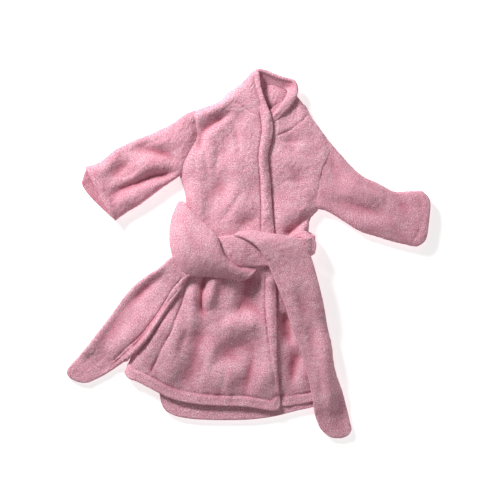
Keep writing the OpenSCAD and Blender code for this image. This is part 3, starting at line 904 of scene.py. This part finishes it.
left_end_folds = [
    (5.4, 9, 9, [(74, -66), (79, -100), (81, -135), (85, -165), (92, -192)], 0.3),
    (-3.0, 7, 5, [(48, -24), (54, -48), (61, -74)]),
    (2.6, 7, 6, [(56, 0), (64, -22), (70, -46), (76, -74), (80, -96)]),
    (1.8, 6, 6, [(40, -38), (50, -66), (60, -96), (68, -126)]),
    (-2.4, 5, 4, [(72, -90), (75, -118), (78, -150), (84, -182)]),
    (-1.5, 1.5, 1.5, [(8, 13.5), (14, 9), (18, 4), (22, -3), (26, -11), (35, -33), (42, -54)],
     0.15),
    (-1.3, 1.5, 1.5, [(13, 15), (18, 11), (22, 6.5), (26, -0.5), (30, -9), (39, -31),
                      (46, -52)], 0.15)]
lying = ease((-y - 14) / 60)
rest = np.maximum(resting(x, y, SASH, 30), left_end_grid[..., 2])
left_end_grid[..., 2] = left_end_grid[..., 2] * (1 - lying) + np.maximum(rest, SASH / 2) * lying
settle(left_end_grid)
left_end_grid[..., 2] += folds(x, y, left_end_folds) * (0.35 + 0.65 * lying)
left_end_grid[..., 2] = np.maximum(left_end_grid[..., 2], SASH / 2 + 0.3)
left_end = cloth("sash_left_end_cloth", left_end_grid, SASH, terry_sash)

# %% [markdown]
# ## Belt loops
#
# Each loop is a short strip on the side seam, and the sash passes under it.

# %% Belt loops
LOOP_WIDE = 9
LOOP_LONG = 44
loop_rows = {
    "left": [(53, 24.5, 17, 51, 17, 17), (60, 23.8, 21, 57.5, 16.5, 22),
             (66, 19.5, 22, 60.5, 14, 24), (70.3, 12, 22, 62.5, 9.5, 24.5),
             (70.2, 5, 22, 62.6, 5, 24), (66.5, -1, 21, 60, 1.5, 23), (61, -5, 18, 56, 0, 20)],
    "right": [(-58, 46, 10, -58, 46, 18), (-68, 44, 11, -67, 43, 19), (-75, 38, 12, -75, 37, 19),
              (-77, 28, 12, -77, 28, 19), (-75, 18, 12, -75, 19, 19), (-68, 12, 11, -67, 13, 19),
              (-58, 10, 10, -58, 10, 18)]}
belt_loops = {}
for side, rows in loop_rows.items():
    loop_grid = strip(rows, LOOP_WIDE, LOOP_LONG)
    belt_loops[side] = cloth(side + "_belt_loop_strip", loop_grid, STRIP, terry_body, loops=0.3)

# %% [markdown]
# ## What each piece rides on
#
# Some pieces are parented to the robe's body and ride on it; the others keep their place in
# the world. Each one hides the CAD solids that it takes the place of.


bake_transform(right_front)
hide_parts("right_front", "skirt_corner")
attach(left_front, "robe")
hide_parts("left_front")
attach(back_panel, "robe")
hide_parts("back_panel")
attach(collar, "robe")
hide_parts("collar")
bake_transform(right_sleeve)
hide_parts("right_sleeve")
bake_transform(left_sleeve)
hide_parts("left_sleeve")
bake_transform(under_strand)
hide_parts("sash_waist", "sash_right_end")
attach(over_strand, "robe")
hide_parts("sash_knot")
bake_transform(left_end)
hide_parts("sash_left_end")
for side in ("left", "right"):
    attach(belt_loops[side], "robe")
    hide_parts(side + "_belt_loop")
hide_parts("front_stitching", "corner_stitching", "hem_stitching")
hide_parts("right_cuff_stitching")
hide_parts("left_cuff_stitching")
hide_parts("right_end_stitching")
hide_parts("left_end_stitching")

# %% [markdown]
# ## The cut of every piece of cloth
#
# Each piece is a sheet of terry. Its flat width and length are read off the rows above, and its
# flat area is close to the area that is printed when it is built, within about a tenth. So
# these sizes describe this model and are no separate measure of a real cut. A sleeve is one
# sheet sewn into a tube. A belt loop is 9 mm wide here and is declared 10 mm, the least that
# a sheet may be.

cuts = (
    (right_front, (0.180, 0.368), 0.0395, "laid", [left_front, back_panel]),
    (left_front, (0.130, 0.336), 0.0310, "laid", [back_panel]),
    (back_panel, (0.200, 0.372), 0.0520, "laid", [under_strand]),
    (collar, (0.014, 0.100), 0.0012, "folded", [back_panel, left_front]),
    (right_sleeve, (0.146, 0.122), 0.0152, "laid", []),
    (left_sleeve, (0.142, 0.132), 0.0164, "laid", []),
    (under_strand, (0.046, 0.430), 0.0160, "folded", [right_front]),
    (over_strand, (0.052, 0.180), 0.0087, "folded", [right_front, under_strand]),
    (left_end, (0.044, 0.244), 0.0096, "laid", [right_front, left_front, under_strand]),
    (belt_loops["left"], (0.010, 0.044), 0.00036, "folded", [left_front]),
    (belt_loops["right"], (0.010, 0.048), 0.00040, "folded", [right_front]))
for piece, size, area, held, below in cuts:
    print(piece.name, "lies flat as", size[0] * 1000, "by", size[1] * 1000, "mm")

# %% [markdown]
# ## Floor, light and camera
#
# The robe lies on a plain pale table and is seen from straight above. A soft light from the
# upper left gives the folds their shape, and a weak, broad one from the other side fills them.
# The table glows a little, so that it stays pale and throws light back under the cloth.

# %% Stage, lights and camera
bpy.ops.mesh.primitive_plane_add(size=6, location=(0, 0, -0.0002))
floor = bpy.context.object
floor.name = "table_top"
paint = bpy.data.materials.new("matt white table")
paint.use_nodes = True
finish = paint.node_tree.nodes["Principled BSDF"].inputs
finish["Base Color"].default_value = srgb("#F4F2F1")
finish["Roughness"].default_value = 0.9
finish["Emission Color"].default_value = (1, 1, 1, 1)
finish["Emission Strength"].default_value = 0.6
floor.data.materials.append(paint)


def soft_light(name, place, size, watts):
    lamp = bpy.data.lights.new(name, "AREA")
    lamp.shape = "DISK"
    lamp.size = size
    lamp.energy = watts
    light = bpy.data.objects.new(name, lamp)
    light.location = place
    aim = -light.location.normalized()
    light.rotation_euler = aim.to_track_quat("-Z", "Y").to_euler()
    bpy.context.scene.collection.objects.link(light)


soft_light("key", (-0.62, 0.80, 0.64), 0.32, 16.6)
soft_light("fill", (0.9, -0.5, 0.9), 1.0, 1.6)
world = bpy.data.worlds.new("room")
bpy.context.scene.world = world
world.use_nodes = True
air = world.node_tree.nodes["Background"].inputs
air["Color"].default_value = (1, 1, 1, 1)
air["Strength"].default_value = 0.22
bpy.context.scene.view_settings.view_transform = "Standard"

FIELD = 0.525
ROBE_MIDDLE = 0.012
camera = bpy.data.cameras.new("camera")
camera.lens = 85
camera.sensor_width = 36
view_from = bpy.data.objects.new("camera", camera)
camera_height = FIELD / camera.sensor_width * camera.lens + ROBE_MIDDLE
view_from.location = (0.0016, 0.0042, camera_height)
bpy.context.scene.collection.objects.link(view_from)
bpy.context.scene.camera = view_from
